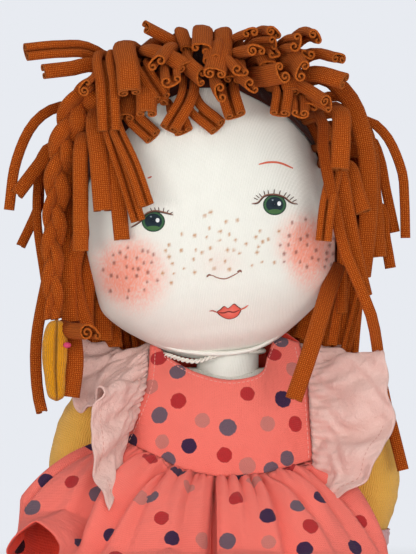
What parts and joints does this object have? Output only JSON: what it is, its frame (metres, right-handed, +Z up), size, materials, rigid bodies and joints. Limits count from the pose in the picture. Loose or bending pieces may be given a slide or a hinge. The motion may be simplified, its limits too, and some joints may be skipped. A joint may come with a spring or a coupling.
{
  "type": "rag doll",
  "caption": "Seated cloth rag doll with a stuffed jointed body, dotted cotton dress, linen shoulder ruffles and hair of curled jersey strips.",
  "frame": {"origin": "middle of the flat face that the doll sits on, behind the leg roots", "axes": "+Z up, the doll faces -Y, +X at the viewer's right (the doll's left)"},
  "size_m": [0.1848, 0.2697, 0.2757],
  "materials": {
    "off_white_jersey": "matte cotton jersey with fine wales",
    "fibre_fill": "loose polyester fibre",
    "coral_cotton": "plain-weave cotton printed with irregular dots",
    "pink_linen": "crinkled linen",
    "mustard_rib_jersey": "fine rib jersey",
    "rust_jersey": "jersey strips with curled cut edges",
    "yellow_knit": "terry knit band",
    "cotton_thread": "twisted cotton thread",
    "pink_thread": "cotton thread",
    "button": "plain turned wood"
  },
  "bodies": {
    "torso": {"torso_front_panel": "off_white_jersey", "torso_back_panel": "off_white_jersey", "torso_stuffing": "fibre_fill", "hip_thread": "cotton_thread", "bodice_front": "coral_cotton", "bodice_back": "coral_cotton", "button_upper": "button", "button_lower": "button", "skirt": "coral_cotton", "ruffle_left": "pink_linen", "ruffle_right": "pink_linen"},
    "neck": {"neck_skin": "off_white_jersey", "neck_stuffing": "fibre_fill"},
    "collar_cord": {"neck_cord": "cotton_thread"},
    "head": {"face_panel": "off_white_jersey", "head_back_panel": "off_white_jersey", "head_stuffing": "fibre_fill", "hair_fringe": "rust_jersey", "hair_left": "rust_jersey", "hair_right": "rust_jersey", "hair_back": "rust_jersey"},
    "braid": {"braid": "rust_jersey", "braid_tie": "yellow_knit", "braid_knot": "pink_thread"},
    "shoulder_left": {"shoulder_thread_left": "cotton_thread"},
    "arm_left": {"sleeve_left": "mustard_rib_jersey", "arm_stuffing_left": "fibre_fill", "hand_left": "off_white_jersey", "cuff_left": "pink_linen"},
    "shoulder_right": {"shoulder_thread_right": "cotton_thread"},
    "arm_right": {"sleeve_right": "mustard_rib_jersey", "arm_stuffing_right": "fibre_fill", "hand_right": "off_white_jersey", "cuff_right": "pink_linen"},
    "leg_left": {"leg_skin_left": "off_white_jersey", "leg_stuffing_left": "fibre_fill"},
    "leg_right": {"leg_skin_right": "off_white_jersey", "leg_stuffing_right": "fibre_fill"}
  },
  "joints": [
    {"name": "neck_tilt", "type": "hinge", "parent": "torso", "child": "neck", "pos_m": [0.004, -0.016, 0.117], "axis": [0, 1, 0], "range_deg": [-6, 6], "deforming": ["hair_left", "hair_right", "hair_back"]},
    {"name": "neck_nod", "type": "hinge", "parent": "neck", "child": "collar_cord", "pos_m": [0.004, -0.016, 0.125], "axis": [1, 0, 0], "range_deg": [-10, 10]},
    {"name": "head_turn", "type": "hinge", "parent": "collar_cord", "child": "head", "pos_m": [0.004, -0.016, 0.125], "axis": [0, 0, 1], "range_deg": [-25, 25]},
    {"name": "braid_swing", "type": "hinge", "parent": "head", "child": "braid", "pos_m": [-0.061, -0.043, 0.239], "axis": [1, 0, 0], "range_deg": [-45, 8], "deforming": ["braid", "braid_tie", "braid_knot"]},
    {"name": "arm_swing_left", "type": "hinge", "parent": "torso", "child": "shoulder_left", "pos_m": [-0.0424, -0.012, 0.107], "axis": [1, 0, 0], "range_deg": [-130, 60]},
    {"name": "arm_lift_left", "type": "hinge", "parent": "shoulder_left", "child": "arm_left", "pos_m": [-0.0424, -0.012, 0.116], "axis": [0, 1, 0], "range_deg": [0, 80], "deforming": ["ruffle_left"]},
    {"name": "arm_swing_right", "type": "hinge", "parent": "torso", "child": "shoulder_right", "pos_m": [0.0424, -0.012, 0.107], "axis": [1, 0, 0], "range_deg": [-130, 60]},
    {"name": "arm_lift_right", "type": "hinge", "parent": "shoulder_right", "child": "arm_right", "pos_m": [0.0424, -0.012, 0.116], "axis": [0, 1, 0], "range_deg": [-80, 0], "deforming": ["ruffle_right"]},
    {"name": "leg_swing_left", "type": "hinge", "parent": "torso", "child": "leg_left", "pos_m": [-0.024, -0.031, 0.0179], "axis": [1, 0, 0], "range_deg": [-20, 90], "deforming": ["skirt"]},
    {"name": "leg_swing_right", "type": "hinge", "parent": "torso", "child": "leg_right", "pos_m": [0.024, -0.031, 0.0179], "axis": [1, 0, 0], "range_deg": [-20, 90]}
  ]
}
